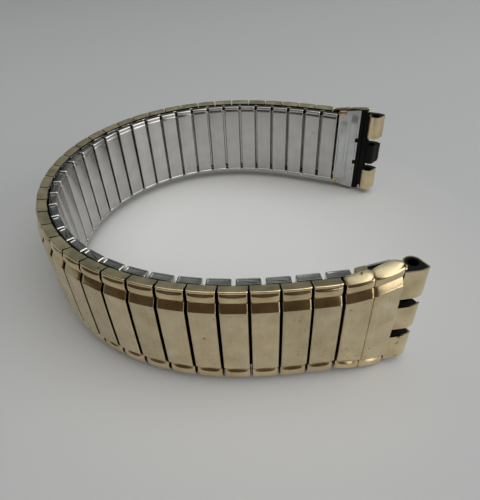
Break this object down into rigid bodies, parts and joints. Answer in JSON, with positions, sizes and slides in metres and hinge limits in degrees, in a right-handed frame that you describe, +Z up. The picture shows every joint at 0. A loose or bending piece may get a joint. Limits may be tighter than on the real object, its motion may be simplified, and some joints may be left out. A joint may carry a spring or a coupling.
{
  "type": "expansion watch band",
  "caption": "Stretching metal watch band: gold-tone capped outer links staggered over steel inner links, joined by sprung staples, with flared ends that take spring bars.",
  "frame": {"origin": "middle of the band's outline on the surface it stands on, below its lower edge", "axes": "+Z up across the band, from its lower edge to its upper edge and along the spring bars; +Y from the front end towards the back end; +X towards the open side of the C, where the watch goes"},
  "size_m": [0.0661, 0.0684, 0.0208],
  "materials": {
    "gold_tone": "brushed, gold-filled",
    "steel": "satin",
    "black": "gloss"
  },
  "bodies": {
    "trio_18": {"outer_link_18": "gold_tone", "inner_links_18_19": "steel"},
    "outer_01": {"outer_link_01": "gold_tone"},
    "trio_02": {"outer_link_02": "gold_tone", "inner_links_02_03": "steel"},
    "outer_03": {"outer_link_03": "gold_tone"},
    "trio_04": {"outer_link_04": "gold_tone", "inner_links_04_05": "steel"},
    "outer_05": {"outer_link_05": "gold_tone"},
    "trio_06": {"outer_link_06": "gold_tone", "inner_links_06_07": "steel"},
    "outer_07": {"outer_link_07": "gold_tone"},
    "trio_08": {"outer_link_08": "gold_tone", "inner_links_08_09": "steel"},
    "outer_09": {"outer_link_09": "gold_tone"},
    "trio_10": {"outer_link_10": "gold_tone", "inner_links_10_11": "steel"},
    "outer_11": {"outer_link_11": "gold_tone"},
    "trio_12": {"outer_link_12": "gold_tone", "inner_links_12_13": "steel"},
    "outer_13": {"outer_link_13": "gold_tone"},
    "trio_14": {"outer_link_14": "gold_tone", "inner_links_14_15": "steel"},
    "outer_15": {"outer_link_15": "gold_tone"},
    "trio_16": {"outer_link_16": "gold_tone", "inner_links_16_17": "steel"},
    "outer_17": {"outer_link_17": "gold_tone"},
    "outer_19": {"outer_link_19": "gold_tone"},
    "trio_20": {"outer_link_20": "gold_tone", "inner_links_20_21": "steel"},
    "outer_21": {"outer_link_21": "gold_tone"},
    "trio_22": {"outer_link_22": "gold_tone", "inner_links_22_23": "steel"},
    "outer_23": {"outer_link_23": "gold_tone"},
    "trio_24": {"outer_link_24": "gold_tone", "inner_links_24_25": "steel"},
    "outer_25": {"outer_link_25": "gold_tone"},
    "trio_26": {"outer_link_26": "gold_tone", "inner_links_26_27": "steel"},
    "outer_27": {"outer_link_27": "gold_tone"},
    "trio_28": {"outer_link_28": "gold_tone", "inner_links_28_29": "steel"},
    "outer_29": {"outer_link_29": "gold_tone"},
    "trio_30": {"outer_link_30": "gold_tone", "inner_links_30_31": "steel"},
    "outer_31": {"outer_link_31": "gold_tone"},
    "trio_32": {"outer_link_32": "gold_tone", "inner_links_32_33": "steel"},
    "outer_33": {"outer_link_33": "gold_tone"},
    "trio_34": {"outer_link_34": "gold_tone", "inner_links_34_35": "steel"},
    "outer_35": {"outer_link_35": "gold_tone"},
    "front_end": {"front_end_cover": "gold_tone", "front_end_liner": "steel", "front_end_core": "black", "inner_link_01": "steel"},
    "back_end": {"back_end_cover": "gold_tone", "back_end_liner": "steel", "back_end_core": "black", "inner_link_36": "steel"}
  },
  "joints": [
    {"name": "stretch_19", "type": "slide", "parent": "trio_18", "child": "outer_19", "axis": [0.0954, 0.9954, 0], "range_m": [0, 0.0011], "stiffness_N_per_m": 1500},
    {"name": "flex_20", "type": "hinge", "parent": "outer_19", "child": "trio_20", "pos_m": [-0.03078, 0.00508, 0.0104], "axis": [0, 0, -1], "range_deg": [-13.1, 4]},
    {"name": "stretch_21", "type": "slide", "parent": "trio_20", "child": "outer_21", "axis": [0.3432, 0.9392, 0], "range_m": [0, 0.0011], "stiffness_N_per_m": 1500},
    {"name": "flex_22", "type": "hinge", "parent": "outer_21", "child": "trio_22", "pos_m": [-0.02848, 0.01289, 0.0104], "axis": [0, 0, -1], "range_deg": [-13.1, 4]},
    {"name": "stretch_23", "type": "slide", "parent": "trio_22", "child": "outer_23", "axis": [0.5689, 0.8224, 0], "range_m": [0, 0.0011], "stiffness_N_per_m": 1500},
    {"name": "flex_24", "type": "hinge", "parent": "outer_23", "child": "trio_24", "pos_m": [-0.02429, 0.01986, 0.0104], "axis": [0, 0, -1], "range_deg": [-13.1, 4]},
    {"name": "stretch_25", "type": "slide", "parent": "trio_24", "child": "outer_25", "axis": [0.7578, 0.6524, 0], "range_m": [0, 0.0011], "stiffness_N_per_m": 1500},
    {"name": "flex_26", "type": "hinge", "parent": "outer_25", "child": "trio_26", "pos_m": [-0.01847, 0.02555, 0.0104], "axis": [0, 0, -1], "range_deg": [-13.1, 4]},
    {"name": "stretch_27", "type": "slide", "parent": "trio_26", "child": "outer_27", "axis": [0.8976, 0.4409, 0], "range_m": [0, 0.0011], "stiffness_N_per_m": 1500},
    {"name": "flex_28", "type": "hinge", "parent": "outer_27", "child": "trio_28", "pos_m": [-0.01141, 0.0296, 0.0104], "axis": [0, 0, -1], "range_deg": [-12.9, 4]},
    {"name": "stretch_29", "type": "slide", "parent": "trio_28", "child": "outer_29", "axis": [0.9774, 0.2116, 0], "range_m": [0, 0.0011], "stiffness_N_per_m": 1500},
    {"name": "flex_30", "type": "hinge", "parent": "outer_29", "child": "trio_30", "pos_m": [-0.00357, 0.03179, 0.0104], "axis": [0, 0, -1], "range_deg": [-11.7, 4]},
    {"name": "stretch_31", "type": "slide", "parent": "trio_30", "child": "outer_31", "axis": [1, 0, 0], "range_m": [0, 0.0011], "stiffness_N_per_m": 1500},
    {"name": "flex_32", "type": "hinge", "parent": "outer_31", "child": "trio_32", "pos_m": [0.00457, 0.03221, 0.0104], "axis": [0, 0, -1], "range_deg": [-9.5, 4]},
    {"name": "stretch_33", "type": "slide", "parent": "trio_32", "child": "outer_33", "axis": [0.9867, -0.1625, 0], "range_m": [0, 0.0011], "stiffness_N_per_m": 1500},
    {"name": "flex_34", "type": "hinge", "parent": "outer_33", "child": "trio_34", "pos_m": [0.01265, 0.03118, 0.0104], "axis": [0, 0, -1], "range_deg": [-6.3, 4]},
    {"name": "stretch_35", "type": "slide", "parent": "trio_34", "child": "outer_35", "axis": [0.9672, -0.254, 0], "range_m": [0, 0.0011], "stiffness_N_per_m": 1500},
    {"name": "flex_36", "type": "hinge", "parent": "outer_35", "child": "back_end", "pos_m": [0.02056, 0.02926, 0.0104], "axis": [0, 0, -1], "range_deg": [-2.1, 4]},
    {"name": "stretch_17", "type": "slide", "parent": "trio_18", "child": "outer_17", "axis": [0.0954, -0.9954, 0], "range_m": [0, 0.0011], "stiffness_N_per_m": 1500},
    {"name": "flex_16", "type": "hinge", "parent": "outer_17", "child": "trio_16", "pos_m": [-0.03078, -0.00508, 0.0104], "axis": [0, 0, 1], "range_deg": [-13.1, 4]},
    {"name": "stretch_15", "type": "slide", "parent": "trio_16", "child": "outer_15", "axis": [0.3432, -0.9392, 0], "range_m": [0, 0.0011], "stiffness_N_per_m": 1500},
    {"name": "flex_14", "type": "hinge", "parent": "outer_15", "child": "trio_14", "pos_m": [-0.02848, -0.01289, 0.0104], "axis": [0, 0, 1], "range_deg": [-13.1, 4]},
    {"name": "stretch_13", "type": "slide", "parent": "trio_14", "child": "outer_13", "axis": [0.5689, -0.8224, 0], "range_m": [0, 0.0011], "stiffness_N_per_m": 1500},
    {"name": "flex_12", "type": "hinge", "parent": "outer_13", "child": "trio_12", "pos_m": [-0.02429, -0.01986, 0.0104], "axis": [0, 0, 1], "range_deg": [-13.1, 4]},
    {"name": "stretch_11", "type": "slide", "parent": "trio_12", "child": "outer_11", "axis": [0.7578, -0.6524, 0], "range_m": [0, 0.0011], "stiffness_N_per_m": 1500},
    {"name": "flex_10", "type": "hinge", "parent": "outer_11", "child": "trio_10", "pos_m": [-0.01847, -0.02555, 0.0104], "axis": [0, 0, 1], "range_deg": [-13.1, 4]},
    {"name": "stretch_09", "type": "slide", "parent": "trio_10", "child": "outer_09", "axis": [0.8976, -0.4409, 0], "range_m": [0, 0.0011], "stiffness_N_per_m": 1500},
    {"name": "flex_08", "type": "hinge", "parent": "outer_09", "child": "trio_08", "pos_m": [-0.01141, -0.0296, 0.0104], "axis": [0, 0, 1], "range_deg": [-12.9, 4]},
    {"name": "stretch_07", "type": "slide", "parent": "trio_08", "child": "outer_07", "axis": [0.9774, -0.2116, 0], "range_m": [0, 0.0011], "stiffness_N_per_m": 1500},
    {"name": "flex_06", "type": "hinge", "parent": "outer_07", "child": "trio_06", "pos_m": [-0.00357, -0.03179, 0.0104], "axis": [0, 0, 1], "range_deg": [-11.7, 4]},
    {"name": "stretch_05", "type": "slide", "parent": "trio_06", "child": "outer_05", "axis": [1, 0, 0], "range_m": [0, 0.0011], "stiffness_N_per_m": 1500},
    {"name": "flex_04", "type": "hinge", "parent": "outer_05", "child": "trio_04", "pos_m": [0.00457, -0.03221, 0.0104], "axis": [0, 0, 1], "range_deg": [-9.5, 4]},
    {"name": "stretch_03", "type": "slide", "parent": "trio_04", "child": "outer_03", "axis": [0.9867, 0.1625, 0], "range_m": [0, 0.0011], "stiffness_N_per_m": 1500},
    {"name": "flex_02", "type": "hinge", "parent": "outer_03", "child": "trio_02", "pos_m": [0.01265, -0.03118, 0.0104], "axis": [0, 0, 1], "range_deg": [-6.3, 4]},
    {"name": "stretch_01", "type": "slide", "parent": "trio_02", "child": "outer_01", "axis": [0.9672, 0.254, 0], "range_m": [0, 0.0011], "stiffness_N_per_m": 1500},
    {"name": "flex_00", "type": "hinge", "parent": "outer_01", "child": "front_end", "pos_m": [0.02056, -0.02926, 0.0104], "axis": [0, 0, 1], "range_deg": [-2.1, 4]}
  ],
  "couplings": [
    {"joint": "stretch_21", "follows": "stretch_19", "ratio": 1},
    {"joint": "stretch_23", "follows": "stretch_19", "ratio": 1},
    {"joint": "stretch_25", "follows": "stretch_19", "ratio": 1},
    {"joint": "stretch_27", "follows": "stretch_19", "ratio": 1},
    {"joint": "stretch_29", "follows": "stretch_19", "ratio": 1},
    {"joint": "stretch_31", "follows": "stretch_19", "ratio": 1},
    {"joint": "stretch_33", "follows": "stretch_19", "ratio": 1},
    {"joint": "stretch_35", "follows": "stretch_19", "ratio": 1},
    {"joint": "stretch_17", "follows": "stretch_19", "ratio": 1},
    {"joint": "stretch_15", "follows": "stretch_19", "ratio": 1},
    {"joint": "stretch_13", "follows": "stretch_19", "ratio": 1},
    {"joint": "stretch_11", "follows": "stretch_19", "ratio": 1},
    {"joint": "stretch_09", "follows": "stretch_19", "ratio": 1},
    {"joint": "stretch_07", "follows": "stretch_19", "ratio": 1},
    {"joint": "stretch_05", "follows": "stretch_19", "ratio": 1},
    {"joint": "stretch_03", "follows": "stretch_19", "ratio": 1},
    {"joint": "stretch_01", "follows": "stretch_19", "ratio": 1}
  ]
}
